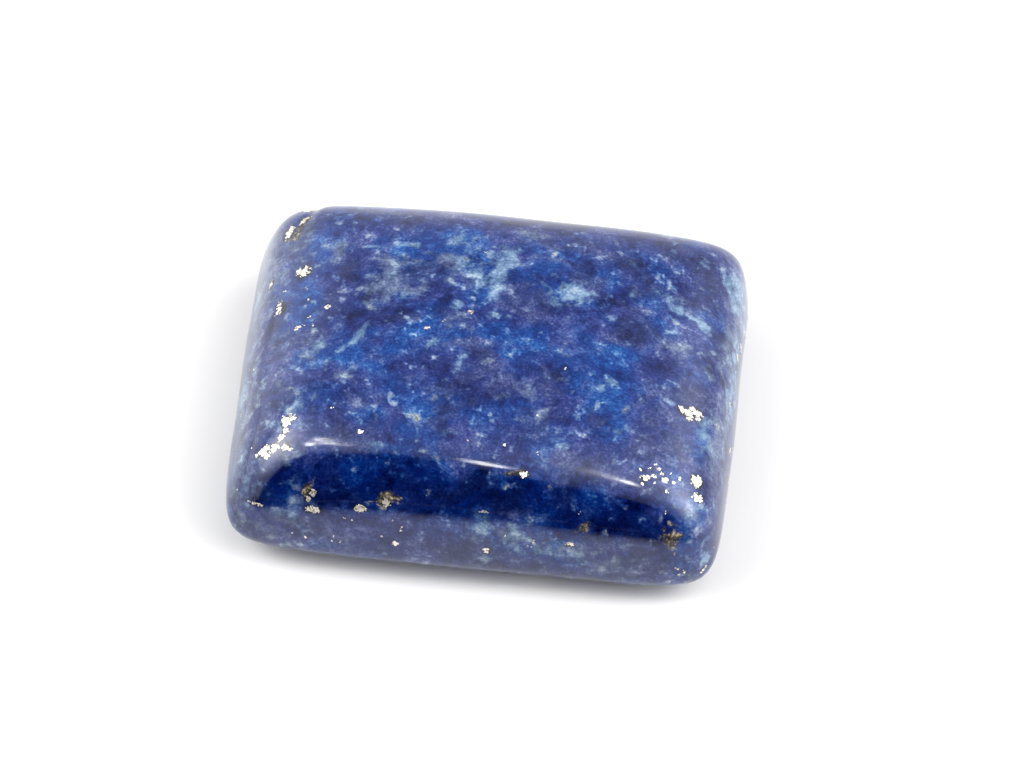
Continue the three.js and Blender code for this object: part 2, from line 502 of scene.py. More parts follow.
VIOLET = (  # lavender to violet grey
    spots_on(TOP, [
        (0.0, 8.0, 9.0, 1.2, 0.8, -2), (-7.0, 4.4, 1.5, 0.5), (-9.0, -0.6, 0.7, 0.6, 0.7),
        (-9.9, -4.0, 0.8, 2.6, 0.8), (2.0, 1.6, 1.2, 1.0, 0.7), (0.3, -3.0, 1.8, 1.0),
        (4.0, -3.8, 0.8, 1.3, 0.7), (7.7, 1.4, 1.5, 1.3, 0.8), (10.0, -3.6, 2.0, 3.6, 0.9),
        (0.0, -6.3, 2.4, 0.7, 0.7, -5), (8.5, -7.6, 2.5, 0.7, 0.9, -8), (-7.5, -5.6, 1.6, 0.9, 0.6),
    ])
    + spots_on(FRONT, [
        (-4.0, 3.4, 5.0, 1.0, 0.8), (9.0, 3.4, 3.0, 1.2, 0.8), (3.0, 2.2, 5.0, 0.8, 0.7),
    ])
    # painted reflection: these large spots make the whole left and right walls paler and greyer, standing
    # in for the bright floor that the polish mirrors there
    + spots_on(LEFT, [
        (0.0, 4.6, 9.0, 2.2),
    ])
    + spots_on(RIGHT, [
        (0.0, 4.5, 9.0, 2.0, 0.9),
    ])
)
NIGHT = (  # dark navy
    spots_on(TOP, [
        (-3.3, 2.5, 0.45, 0.35), (-6.3, 1.7, 0.7, 0.4), (-7.6, 2.9, 0.8, 0.5), (-8.1, 2.0, 0.5, 0.4, 0.8),
        (-7.0, 0.4, 0.8, 0.3, 1, 20), (-4.9, 0.4, 0.8, 0.4, 0.8), (-2.7, -2.8, 0.7, 0.4),
        (-4.4, -2.9, 0.5, 0.35), (-7.6, -3.0, 0.4, 0.5, 0.7), (-2.4, 7.2, 1.2, 0.3, 0.6),
        (5.7, 2.6, 0.4, 0.6), (6.7, 5.3, 0.9, 0.6, 0.9), (7.4, 0.9, 0.8, 0.4, 0.8),
        (4.4, 5.0, 1.3, 0.5, 0.7), (11.3, 0.0, 0.35, 0.6, 0.8), (2.7, -1.9, 0.9, 0.4, 0.6),
        (0.5, -4.3, 1.6, 0.6, 0.6), (9.0, -0.7, 0.9, 0.4, 0.6), (-11.2, -1.0, 0.15, 2.5, 0.6, -4),
        (4.5, 8.5, 3.5, 0.7, 0.8, -6), (2.4, 7.7, 2.4, 0.5, 0.6, -8), (-1.2, 1.95, 0.4, 0.3, 0.6),
        (-0.3, -1.6, 0.6, 0.5, 0.6), (1.6, -3.25, 0.4, 0.3, 0.6), (7.4, -6.2, 0.6, 0.3, 0.6, -20),
    ])
    + spots_on(FRONT, [
        (-10.0, 3.6, 1.4, 0.6, 0.6), (-6.2, 5.4, 0.7, 0.4, 0.7), (7.4, 5.2, 2.2, 0.5, 0.7),
        (-9.7, 5.7, 0.6, 0.4, 0.6),
    ])
)
RUST = (  # brown and dark gold, round the pyrite
    spots_on(TOP, [
        (2.3, -8.0, 0.45, 0.18), (-10.4, 6.9, 0.3, 0.9, 0.7, -25),
    ])
    + spots_on(FRONT, [
        (-7.95, 5.6, 0.3, 0.35, 0.7), (-4.1, 5.9, 0.5, 0.4, 0.8), (-10.6, 4.6, 0.3, 0.12, 0.7),
        (10.35, 5.1, 0.6, 0.45), (5.9, 5.4, 0.3, 0.3, 0.8), (10.0, 5.6, 0.4, 0.2, 0.6),
    ])
)
PAINTED_SHOULDER_SHADE = (  # painted shade: the base colour darkened along the front shoulder, where the polish faces the dark front
    spots_on(FRONT, [
        (-10.4, 4.6, 0.6, 0.6, 0.7), (-10.0, 5.2, 0.9, 0.8, 0.9), (-9.2, 5.6, 1.2, 0.9, 0.9),
        (-7.6, 5.9, 1.6, 1.25), (-5.2, 6.2, 1.8, 1.4), (-2.6, 6.4, 1.8, 1.35), (0.0, 6.5, 1.8, 1.2),
        (2.6, 6.4, 1.8, 1.15), (5.2, 6.2, 1.8, 1.15), (7.6, 5.95, 1.6, 1.1), (9.6, 5.5, 1.2, 0.9, 0.9),
        (9.2, 5.0, 1.1, 0.5, 0.8, -15),
    ])
)
MATRIX_REACH = 1.3  # how far the dark matrix round a cluster reaches, as a share of the cluster
MATRIX_FROM = 8  # grains in the smallest cluster with such a matrix
MATRIX_STRENGTH = 0.8
MARKINGS = {
    "pale": PALE,
    "azure": AZURE,
    "mist": MIST,
    "violet": VIOLET,
    "night": NIGHT,
    # the deep marking: painted shade along the front shoulder, and a few strewn deeper blue patches on the
    # other sides
    "deep": PAINTED_SHOULDER_SHADE,
    "rust": RUST,
}

# Sides that carry few placed markings and have more strewn over them: how far these reach either way along
# the side's first direction, and from where to where along its second.
Strewn = namedtuple("Strewn", "side reach low high")
STREWN_SIDES = [
    Strewn(BACK, 11, 1.5, 6.5),
    Strewn(RIGHT, 9, 1.5, 6.0),
    Strewn(LEFT, 9, 1.0, 4.5),
    Strewn(UNDER, 10, -8.0, 8.0),
]
STREWN_COUNTS = {"pale": 4, "azure": 8, "mist": 4, "violet": 5, "night": 6, "deep": 2, "rust": 1}
STREWN_SMALL = 0.2  # the least half length
STREWN_LARGE = 1.3  # and the greatest
STREWN_SLIM = 0.3  # the least half width, as a share of the half length
STREWN_TURN = 40  # degrees, either way
STREWN_SEED = 5

# The ragged edges of the markings: how finely they are pushed about, and how far, in millimetres.
Push = namedtuple("Push", "size reach")
PUSHES = [Push(1.6, 0.8), Push(0.6, 0.4), Push(0.25, 0.16)]
PUSH_SEED = 1795516047  # the noise that pushes them differs from run to run unless it is seeded
FULLY_PUSHED = 1.4  # half length of the markings that are pushed all the way; smaller ones are less so
FALLOFF = 0.7  # how fast a marking fades past its half sizes


def matrix_spots():
    """The dark matrix that the larger clusters of pyrite lie in."""
    spots = []
    for each in PYRITE:
        if each.count >= MATRIX_FROM:
            long = each.spot.long * MATRIX_REACH
            wide = each.spot.wide * MATRIX_REACH
            spots.append(each.spot._replace(long=long, wide=wide, strength=MATRIX_STRENGTH))
    return spots


def strewn_spots(kind):
    """Spots of one kind, at random places on the sides that carry few placed ones."""
    luck = random.Random(f"{kind} {STREWN_SEED}")
    spots = []
    for area in STREWN_SIDES:
        for _ in range(STREWN_COUNTS.get(kind, 0)):
            place = (luck.uniform(-area.reach, area.reach), luck.uniform(area.low, area.high))
            long = luck.uniform(STREWN_SMALL, STREWN_LARGE)
            wide = long * luck.uniform(STREWN_SLIM, 1)
            turn = luck.uniform(-STREWN_TURN, STREWN_TURN)
            spots.append(Spot(area.side, *place, long, wide, turn=turn))
    return spots


def settle(spot, skin):
    """Where a spot lies on the stone: its middle, its two half axes along the surface, and the normal."""
    start = (spot.side.across * spot.across + spot.side.up * spot.up) * MM - spot.side.inward * FAR_OUT
    middle, normal, _, _ = skin.ray_cast(start, spot.side.inward)
    turn = math.radians(spot.turn)
    heading = spot.side.across * math.cos(turn) + spot.side.up * math.sin(turn)
    long_way = (heading - normal * heading.dot(normal)).normalized()
    wide_way = normal.cross(long_way)
    return middle, long_way * spot.long * MM, wide_way * spot.wide * MM, normal


def mark(mesh, skin):
    """Writes how strongly each kind of marking shows at each point of the stone."""
    points = vertex_array(mesh)
    pushes = pushes_at(points)
    for kind, spots in {**MARKINGS, "matrix": matrix_spots()}.items():
        strength = np.zeros(len(points))
        for spot in spots + strewn_spots(kind):
            shifted = points + pushes * min(1, spot.long / FULLY_PUSHED)
            strength = np.maximum(strength, spot.strength * spot_share(shifted, spot, skin))
        attribute = mesh.attributes.new(kind, "FLOAT", "POINT")
        attribute.data.foreach_set("value", strength.astype(np.float32))


def pushes_at(points):
    """How far noise pushes each point, so that a plain spot measured there gets a ragged outline."""
    seed_set(PUSH_SEED)
    total = np.zeros(points.shape)
    for push in PUSHES:
        shifts = [noise_vector(Vector(point) / (push.size * MM)) for point in points]
        total += np.array(shifts) * push.reach * MM
    return total


def spot_share(points, spot, skin):
    """One at a spot's middle, falling off past its half sizes."""
    middle, long_way, wide_way, normal = settle(spot, skin)
    offset = points - np.array(middle)
    along = offset @ np.array(long_way) / long_way.length_squared
    aside = offset @ np.array(wide_way) / wide_way.length_squared
    inward = offset @ np.array(normal) / max(wide_way.length, long_way.length)
    return np.exp(-(along**2 + aside**2 + inward**2) * FALLOFF)


# ---- Pyrite grains -----------------------------------------------------------------------------------

# A cluster of pyrite: a spot, and how many grains lie in it.
Cluster = namedtuple("Cluster", "spot count")
SPECK_HALF_WIDTH = 0.08  # of the spot that a lone grain's size is drawn from


def clusters_on(side, rows):
    """Clusters on one side: for each its middle, its half sizes, its count and perhaps its turn."""
    made = []
    for across, up, long, wide, count, *turn in rows:
        made.append(Cluster(Spot(side, across, up, long, wide, 1, *turn), count))
    return made


def specks_on(side, rows):
    """Lone grains on one side: for each its place, and perhaps the half width of its spot."""
    made = []
    for across, up, *given in rows:
        half_width = given[0] if given else SPECK_HALF_WIDTH
        made.append(Cluster(Spot(side, across, up, half_width, half_width), 1))
    return made


PYRITE = (
    clusters_on(TOP, [
        (-9.8, 3.6, 0.38, 0.34, 22), (-10.8, 1.6, 0.45, 0.22, 16, 80), (-8.2, 1.0, 0.16, 0.14, 6),
        (-9.6, -0.15, 0.16, 0.14, 6), (-3.0, -0.35, 0.13, 0.11, 5), (-0.95, 0.9, 0.13, 0.1, 5),
        (-10.45, -7.3, 0.22, 0.16, 12, 20), (-10.25, -7.5, 0.18, 0.14, 12),
        (-10.3, -7.15, 0.2, 0.14, 10, 60), (-10.75, -7.35, 0.1, 0.08, 5),
        (-9.95, -7.25, 0.2, 0.14, 12, 30), (-9.8, -7.1, 0.2, 0.13, 10), (-9.3, -7.2, 0.24, 0.15, 12, 40),
        (-9.05, -7.3, 0.1, 0.08, 4), (-9.6, -6.75, 0.2, 0.13, 10, 50), (-9.4, -6.4, 0.17, 0.12, 8, 30),
        (-9.4, -5.95, 0.26, 0.2, 14, 60), (-9.6, -5.85, 0.12, 0.1, 6), (-9.1, -5.8, 0.16, 0.1, 8, 30),
        (-9.35, -5.6, 0.3, 0.1, 7, 10), (-5.65, -6.5, 0.15, 0.1, 6), (2.7, -8.0, 0.22, 0.16, 12),
        (10.1, -2.9, 0.26, 0.12, 14, -20), (10.45, -3.05, 0.3, 0.2, 18), (10.6, -2.65, 0.16, 0.12, 9),
        (10.9, -2.8, 0.3, 0.16, 14), (10.55, -3.3, 0.16, 0.12, 8), (10.95, -3.1, 0.16, 0.12, 8),
        (11.2, -6.75, 0.28, 0.32, 20), (11.35, -7.6, 0.3, 0.22, 16), (8.7, -7.4, 0.22, 0.14, 12),
        (9.65, -7.3, 0.2, 0.12, 10), (9.1, -7.25, 0.14, 0.09, 5), (9.5, -7.0, 0.1, 0.08, 4),
        (-10.95, 6.8, 0.5, 0.22, 22, 68), (-10.2, 7.5, 0.4, 0.17, 16, 50), (-9.0, 8.9, 0.8, 0.16, 26, 8),
        (-11.5, 3.7, 0.26, 0.14, 9, 75),
    ])
    + clusters_on(FRONT, [
        (-7.7, 4.7, 0.34, 0.17, 26), (-7.75, 5.5, 0.16, 0.16, 12), (-7.95, 5.2, 0.14, 0.12, 9),
        (-10.6, 4.35, 0.45, 0.07, 14), (-5.33, 5.1, 0.28, 0.22, 18), (-4.0, 5.6, 0.2, 0.2, 12),
        (-3.55, 3.2, 0.16, 0.13, 6), (1.07, 3.4, 0.18, 0.15, 8), (5.2, 4.35, 0.23, 0.1, 9),
        (0.85, 5.7, 0.25, 0.06, 5), (11.9, 2.6, 0.25, 0.1, 8, 35),
    ])
    + specks_on(TOP, [
        (-9.1, 0.45), (-9.3, 0.0), (-8.85, -0.1), (-9.3, 1.65), (-9.5, 2.4), (-10.65, 2.6), (-12.0, -1.2),
        (-11.95, -2.0), (-12.05, -2.6), (-12.1, -3.7), (-11.7, -1.6), (-2.2, 0.2), (-0.65, 5.0),
        (4.1, -1.9), (-0.15, -6.65), (-7.2, -5.3), (1.6, -6.7), (3.35, -6.95, 0.1), (3.05, -4.9, 0.06),
        (8.9, -6.9), (9.3, -6.8), (9.9, -6.9), (8.4, -7.0), (10.4, -7.0), (9.2, -7.6), (10.15, -7.3, 0.1),
        (9.1, -6.6, 0.1), (8.6, -7.75), (9.85, -7.85), (9.9, -8.75),
    ])
    + specks_on(FRONT, [
        (-11.7, 4.3), (-11.1, 5.9, 0.06), (-6.1, 4.4), (-5.7, 4.4), (-3.6, 4.6), (-3.25, 4.3),
        (-3.2, 4.1), (-4.2, 3.6, 0.06), (-7.55, 4.6), (-8.75, 3.1, 0.06), (-8.1, 2.9, 0.06),
        (-6.6, 3.2, 0.06), (-6.75, 2.9), (-6.3, 2.9), (2.0, 4.5), (3.4, 4.3, 0.1), (3.2, 4.0, 0.1),
        (5.6, 6.1), (10.5, 4.1, 0.1), (10.6, 3.1), (10.9, 3.0), (10.7, 2.7, 0.06), (11.0, 2.8, 0.06),
    ])
)

GRAIN_SIDES = 7
GRAIN_DEPTH = 0.1 * MM  # the whole of a grain, from its buried underside to its top
GRAIN_PROUD = 0.01 * MM  # how far it stands above the polish
GRAIN_TOP_SHARE = 0.9  # the radius of its top, as a share of that of its underside
GRAIN_LEAST = 0.034 * MM  # radius of the smallest grain
GRAIN_SHARE = 0.56  # radius of the largest grain, as a share of its cluster's half width
GRAIN_CROWD = 1.5  # a placed cluster gets this many times its count
GRAIN_RARITY = 2.2  # how rare the large grains are
GRAIN_GATHER = 0.75  # how far the large grains keep to the middle of their cluster
GRAIN_SCATTER = 1.25  # how far the smallest stray past its edge
GRAIN_RAGGEDNESS = 0.55  # how far a corner may lie out of place, as a share of the grain's radius
GRAIN_TILT = math.radians(9)  # the most that a grain leans
LARGE_GRAIN_STEADINESS = 0.8  # the share of the tilt that the largest grains do without
EVEN_SPREAD = 0.5  # the power that spreads grains evenly over a disc
GRAIN_SEED = 11

# Stray clusters on the sides that carry no placed ones.
STRAYS = 250000.0  # in each square metre
STRAY_LEAST = 0.05 * MM  # half length of the smallest
STRAY_REACH = 0.5 * MM  # how much longer the largest is
STRAY_SMALLNESS = 4  # how rare the large ones are
STRAY_FEWEST = 2  # grains in the smallest
STRAY_CROWD = 20  # how many more there are in the largest
STRAY_WIDTH = 0.6  # width as a share of length
STRAY_CLEAR_OF_FLOOR = 0.05 * MM

# How far the surface has to face the back, the right or the floor for strays to lie there, and how far it
# may face the front at most.
STRAY_BACK_FROM = 0.6
STRAY_RIGHT_FROM = 0.85
STRAY_UNDER_FROM = 0.05
STRAY_FRONT_FROM = 0.4

# The seeds of the random draws.
STRAY_SIZE_SEED = 21
STRAY_HEADING_SEED = 22
GRAIN_LUCK_SEED = 30
GRAIN_OUT_SEED = 31
GRAIN_ANGLE_SEED = 32
TILT_X_SEED = 41
TILT_Y_SEED = 42
GRAIN_TURN_SEED = 43
RAGGEDNESS_SEED = 44


def cluster_points(skin):
    """A mesh of one point for each cluster, with what the grains need to know about it."""
    settled = [settle(each.spot, skin) for each in PYRITE]
    mesh = bpy.data.meshes.new("clusters")
    mesh.from_pydata([place[0] for place in settled], [], [])
    counts = mesh.attributes.new("count", "INT", "POINT")
    counts.data.foreach_set("value", [round(each.count * GRAIN_CROWD) for each in PYRITE])
    for name, index in (("long_way", 1), ("wide_way", 2)):
        ways = mesh.attributes.new(name, "FLOAT_VECTOR", "POINT")
        ways.data.foreach_set("vector", [part for place in settled for part in place[index]])
    return mesh


def named(graph, name, kind="FLOAT"):
    return graph.add("GeometryNodeInputNamedAttribute", {"data_type": kind}, {"Name": name})


def keep(graph, geometry, name, value, kind="FLOAT"):
    sockets = {"Geometry": geometry, "Name": name, "Value": value}
    return graph.add("GeometryNodeStoreNamedAttribute", {"data_type": kind, "domain": "POINT"}, sockets)


def chance(graph, low, high, seed, kind="FLOAT", **drawn_by):
    """A random number or vector for each point, drawn by the point's own id or by the ID given here."""
    sockets = {"Min": low, "Max": high, "Seed": seed, **drawn_by}
    return graph.add("FunctionNodeRandomValue", {"data_type": kind}, sockets)


def moved(graph, geometry, offset):
    return graph.add("GeometryNodeSetPosition", inputs={"Geometry": geometry, "Offset": offset})


def stray_clusters(graph, surface, given):
    """Clusters strewn over the sides that carry no placed ones: the back, the right and the underside."""
    out = split(graph, graph.add("GeometryNodeInputNormal"))
    height = split(graph, graph.add("GeometryNodeInputPosition"))[2]
    to_back = out[1].above(STRAY_BACK_FROM)
    to_right = out[0].above(STRAY_RIGHT_FROM)
    to_floor = (-out[2]).above(STRAY_UNDER_FROM)
    to_front = (-out[1]).above(STRAY_FRONT_FROM)
    chosen = (to_back + to_right + to_floor) * (1 - to_front) * height.above(STRAY_CLEAR_OF_FLOOR)
    sockets = {"Mesh": surface, "Selection": chosen, "Density": given["Strays"], "Seed": given["Seed"]}
    node = graph.add("GeometryNodeDistributePointsOnFaces", inputs=sockets).socket.node
    points = Value(graph, find_socket(node.outputs, "Points"))
    normal = Value(graph, find_socket(node.outputs, "Normal"))
    size = chance(graph, 0.0, 1.0, STRAY_SIZE_SEED) ** STRAY_SMALLNESS
    reach = size * STRAY_REACH + STRAY_LEAST
    heading = chance(graph, (-1, -1, -1), (1, 1, 1), STRAY_HEADING_SEED, "FLOAT_VECTOR")
    along = vector_math(graph, "NORMALIZE", vector_math(graph, "CROSS_PRODUCT", normal, heading))
    aside = vector_math(graph, "CROSS_PRODUCT", normal, along)
    points = keep(graph, points, "count", size * STRAY_CROWD + STRAY_FEWEST, "INT")
    points = keep(graph, points, "long_way", scaled(graph, along, reach), "FLOAT_VECTOR")
    return keep(graph, points, "wide_way", scaled(graph, aside, reach * STRAY_WIDTH), "FLOAT_VECTOR")


def spread_grains(graph, clusters, surface):
    """One point for each grain, down on the stone: the largest near its cluster's middle."""
    sockets = {"Geometry": clusters, "Amount": named(graph, "count", "INT")}
    points = graph.add("GeometryNodeDuplicateElements", {"domain": "POINT"}, sockets)
    points = keep(graph, points, "luck", chance(graph, 0.0, 1.0, GRAIN_LUCK_SEED) ** GRAIN_RARITY)
    luck = named(graph, "luck")
    half_width = vector_math(graph, "LENGTH", named(graph, "wide_way", "FLOAT_VECTOR"), output="Value")
    points = keep(graph, points, "radius", luck * half_width * GRAIN_SHARE + GRAIN_LEAST)
    out = chance(graph, 0.0, 1.0, GRAIN_OUT_SEED) ** EVEN_SPREAD * (GRAIN_SCATTER - luck * GRAIN_GATHER)
    angle = chance(graph, 0.0, math.tau, GRAIN_ANGLE_SEED)
    along = scaled(graph, named(graph, "long_way", "FLOAT_VECTOR"), out * angle.sine())
    aside = scaled(graph, named(graph, "wide_way", "FLOAT_VECTOR"), out * angle.cosine())
    points = moved(graph, points, vector_math(graph, "ADD", along, aside))
    down = graph.add("GeometryNodeProximity", {"target_element": "FACES"}, {"Geometry": surface})
    return graph.add("GeometryNodeSetPosition", inputs={"Geometry": points, "Position": down})


def grain_shape(graph, given):
    """One grain of radius one: a low plug, most of it sunk in the stone."""
    sockets = {
        "Vertices": GRAIN_SIDES,
        "Radius Top": GRAIN_TOP_SHARE,
        "Radius Bottom": 1,
        "Depth": given["Depth"],
    }
    plug = graph.add("GeometryNodeMeshCone", inputs=sockets)
    return moved(graph, plug, join(graph, 0, 0, given["Proud"] - given["Depth"]))


def grain_turn(graph):
    """Each grain stands along the surface's normal, turned at random and tilted, the large ones least."""
    sockets = {"Vector": named(graph, "out", "FLOAT_VECTOR")}
    upright = graph.add("FunctionNodeAlignRotationToVector", {"axis": "Z"}, sockets)
    tilt = GRAIN_TILT * (1 - named(graph, "luck") * LARGE_GRAIN_STEADINESS)
    tilt_x = chance(graph, -1.0, 1.0, TILT_X_SEED) * tilt
    tilt_y = chance(graph, -1.0, 1.0, TILT_Y_SEED) * tilt
    angles = join(graph, tilt_x, tilt_y, chance(graph, 0.0, math.tau, GRAIN_TURN_SEED))
    lean = graph.add("FunctionNodeEulerToRotation", inputs={"Euler": angles})
    sockets = {"Rotation": upright, "Rotate By": lean}
    return graph.add("FunctionNodeRotateRotation", {"rotation_space": "LOCAL"}, sockets)


def roughened(graph, grains):
    """Every corner of every grain pushed aside at random, level with the stone.

    Grains of placed clusters have no ids of their own, so each corner draws by its index.
    """
    corner = graph.add("GeometryNodeInputIndex")
    jitter = chance(graph, (-1, -1, -1), (1, 1, 1), RAGGEDNESS_SEED, "FLOAT_VECTOR", ID=corner)
    out = named(graph, "out", "FLOAT_VECTOR")
    rise = vector_math(graph, "DOT_PRODUCT", jitter, out, output="Value")
    level = vector_math(graph, "SUBTRACT", jitter, scaled(graph, out, rise))
    return moved(graph, grains, scaled(graph, level, named(graph, "radius") * GRAIN_RAGGEDNESS))


def grain_at_each(graph, points, surface, given):
    """A grain standing on the stone at each point."""
    sockets = {"Mesh": surface, "Value": graph.add("GeometryNodeInputNormal")}
    out = graph.add("GeometryNodeSampleNearestSurface", {"data_type": "FLOAT_VECTOR"}, sockets)
    points = keep(graph, points, "out", out, "FLOAT_VECTOR")
    radius = named(graph, "radius")
    sockets = {
        "Points": points,
        "Instance": grain_shape(graph, given),
        "Rotation": grain_turn(graph),
        "Scale": join(graph, radius, radius, 1),
    }
    placed = graph.add("GeometryNodeInstanceOnPoints", inputs=sockets)
    return roughened(graph, graph.add("GeometryNodeRealizeInstances", inputs={"Geometry": placed}))


def build_pyrite(stone, skin, material):
    """All the grains, as one piece."""
    sizes = {
        "Stone": stone,
        "Depth": GRAIN_DEPTH,
        "Proud": GRAIN_PROUD,
        "Strays": STRAYS,
        "Seed": GRAIN_SEED,
        "Material": material,
    }
    kinds = {"Stone": "NodeSocketObject", "Seed": "NodeSocketInt", "Material": "NodeSocketMaterial"}
    sockets = {label: kinds.get(label, "NodeSocketFloat") for label in sizes}
    graph, given = geometry_tree("pyrite_grains", sockets)
    surface = graph.add("GeometryNodeObjectInfo", inputs={"Object": given["Stone"]}, output="Geometry")
    strays = stray_clusters(graph, surface, given)
    clusters = graph.add("GeometryNodeJoinGeometry", inputs={"Geometry": [given["Geometry"], strays]})
    grains = grain_at_each(graph, spread_grains(graph, clusters, surface), surface, given)
    flat = graph.add("GeometryNodeSetShadeSmooth", inputs={"Geometry": grains, "Shade Smooth": False})
    end_tree(graph, flat, given["Material"])
    return grow("pyrite_grains", cluster_points(skin), graph, sizes)


# ---- Finishes ----------------------------------------------------------------------------------------

# A pattern of noise: the size of its largest features in millimetres, how many finer layers it has, and how
# much of its strength each keeps.
Pattern = namedtuple("Pattern", "size detail roughness")
BROAD_SWIRL = Pattern(3, 1, 0.5)
CLOUDS = Pattern(1.6, 3, 0.55)
MOTTLE = Pattern(0.45, 2, 0.6)
SPECKLE = Pattern(0.12, 1, 0.5)
FLECKS = Pattern(0.6, 2, 0.5)
FLECK_GROUPS = Pattern(2.4, 2, 0.5)
SMALL_FLECKS = Pattern(0.28, 1, 0.5)
SMALL_FLECK_GROUPS = Pattern(1.4, 2, 0.5)
DARK_PATCHES = Pattern(1.0, 3, 0.55)
HUE_DRIFT = Pattern(2.0, 3, 0.6)
DUSK = Pattern(1.8, 3, 0.6)
RAGGED = Pattern(0.6, 4, 0.6)
RUST_GRAIN = Pattern(0.16, 2, 0.6)
RIPPLE = Pattern(0.6, 3, 0.6)
SCRATCHES = Pattern(0.12, 2, 0.6)
TARNISH = Pattern(0.12, 2, 0.6)

BROAD_SWIRL_REACH = 1.0  # millimetres
GRAIN_LINE_TURN = 11  # how far the rock's grain runs from the stone's length, in degrees
GRAIN_LINE_SHARE = 0.92  # how fast a pattern changes along the grain, as a share of across it
RAGGED_REACH = 2.5  # how far noise raises and lowers a marking's strength at its edge

# A smooth rise from nothing to all of something, between two values: how soft its edge is.
Rise = namedtuple("Rise", "low high")
FLECK_EDGE = Rise(0.56, 0.70)
FLECK_GROUP_EDGE = Rise(0.46, 0.58)
DARK_PATCH_EDGE = Rise(0.54, 0.66)
DUSK_EDGE = Rise(0.48, 0.62)
MIST_EDGE = Rise(0.2, 0.9)
PALE_EDGE = Rise(0.15, 0.8)
DEEP_BLUE_AND_SHADE_EDGE = Rise(0.15, 0.7)
RUST_EDGE = Rise(0.25, 0.6)
MATRIX_EDGE = Rise(0.2, 0.6)
TARNISH_EDGE = Rise(0.50, 0.62)

# The polish: heights in millimetres, how the finest scratches run, in degrees from the stone's length, and
# how fast they change along their run, as a share of across it.
POLISH_ROUGHNESS = 0.06
POLISH_IOR = 1.5
RIPPLE_HEIGHT = 0.0012
SCRATCH_HEIGHT = 0.0011
SCRATCH_TURN = 14
SCRATCH_SHARE = 0.15

# The tone runs from 0, the darkest, to 1, the palest: its middle, and how far each pattern moves it.
MIDDLE_TONE = 0.42
CLOUD_TONE = 1.0
MOTTLE_TONE = 0.68
SPECKLE_TONE = 0.62
FLECK_TONE = 0.30
SMALL_FLECK_TONE = 0.16
DARK_PATCH_TONE = -0.17
PALE_TONE = 0.12
MIST_TONE = 0.06
NIGHT_TONE = -0.24
FLECKS_LOST_IN_VIOLET = 0.8

# The hue runs from 0, violet, to 1, azure; some of the rock is duskier than either.
MIDDLE_HUE = 0.42
DRIFT_HUE = 2.8
FLECK_HUE = 0.25
AZURE_HUE = 0.7
VIOLET_HUE = -0.5
AZURE_DUSK = -0.12
VIOLET_DUSK = 0.06

# How much of the rock's colour each of these takes over at most, and how far their edges are ragged.
DUSK_SHARE = 0.6
MIST_SHARE = 0.8
PALE_SHARE = 0.9
RUST_SHARE = 0.9
MATRIX_SHARE = 0.8
DEEP_BLUE_AND_SHADE_RAGGEDNESS = 0.4
DEEP_BLUE_AND_SHADE_LOST_IN_MIST = 0.45
RUST_RAGGEDNESS = 0.8
RUST_GRAIN_TONE = 3

Stop = namedtuple("Stop", "place colour")
VIOLET_STOPS = [
    Stop(0.00, (0.0025, 0.0045, 0.036)),
    Stop(0.20, (0.0060, 0.0130, 0.082)),
    Stop(0.42, (0.0170, 0.0290, 0.138)),
    Stop(0.63, (0.0500, 0.0680, 0.205)),
    Stop(0.85, (0.1700, 0.2000, 0.360)),
    Stop(1.00, (0.3200, 0.3600, 0.500)),
]
AZURE_STOPS = [
    Stop(0.00, (0.0010, 0.0070, 0.054)),
    Stop(0.20, (0.0020, 0.0170, 0.112)),
    Stop(0.42, (0.0050, 0.0370, 0.184)),
    Stop(0.63, (0.0200, 0.0860, 0.275)),
    Stop(0.85, (0.1050, 0.2100, 0.400)),
    Stop(1.00, (0.2700, 0.3900, 0.520)),
]
PALE_STOPS = [
    Stop(0.00, (0.0150, 0.0400, 0.110)),
    Stop(0.42, (0.0850, 0.1500, 0.260)),
    Stop(0.63, (0.1700, 0.2600, 0.380)),
    Stop(0.85, (0.3000, 0.3900, 0.460)),
    Stop(1.00, (0.4200, 0.4800, 0.500)),
]
DUSK_STOPS = [
    Stop(0.00, (0.0060, 0.0075, 0.030)),
    Stop(0.42, (0.0260, 0.0350, 0.108)),
    Stop(0.63, (0.0700, 0.0860, 0.190)),
    Stop(1.00, (0.2500, 0.2800, 0.380)),
]
MIST_STOPS = [
    Stop(0.00, (0.0110, 0.0170, 0.050)),
    Stop(0.42, (0.0760, 0.1060, 0.190)),
    Stop(0.63, (0.1450, 0.1850, 0.270)),
    Stop(0.85, (0.2500, 0.3000, 0.370)),
    Stop(1.00, (0.3400, 0.3900, 0.430)),
]
RUST_STOPS = [
    Stop(0.00, (0.0120, 0.0120, 0.014)),
    Stop(0.42, (0.0600, 0.0500, 0.034)),
    Stop(0.63, (0.1500, 0.1200, 0.070)),
    Stop(1.00, (0.4200, 0.3500, 0.230)),
]
MATRIX_COLOUR = (0.008, 0.008, 0.012)
# multiplies the base colour where the deep marking lies: painted shade along the front shoulder, deeper
# blue patches elsewhere
DEEP_BLUE_AND_SHADE_TINT = (0.10, 0.22, 0.45)
BRIGHT_PYRITE = (0.88, 0.83, 0.74)
TARNISHED_PYRITE = (0.34, 0.29, 0.22)
PYRITE_ROUGHNESS = 0.5
HALF_GREY = (0.5, 0.5, 0.5)


def new_material(name):
    """A material with an empty tree, and its graph."""
    material = bpy.data.materials.new(name)
    material.use_nodes = True
    material.node_tree.nodes.clear()
    return material, Graph(material.node_tree)


def end_material(graph, shader):
    graph.add("ShaderNodeOutputMaterial", inputs={"Surface": shader})


def mix(graph, share, first, second):
    """The first colour where the share is 0, the second where it is 1."""
    sockets = {"Factor": share, "A": first, "B": second}
    return graph.add("ShaderNodeMix", {"data_type": "RGBA"}, sockets)


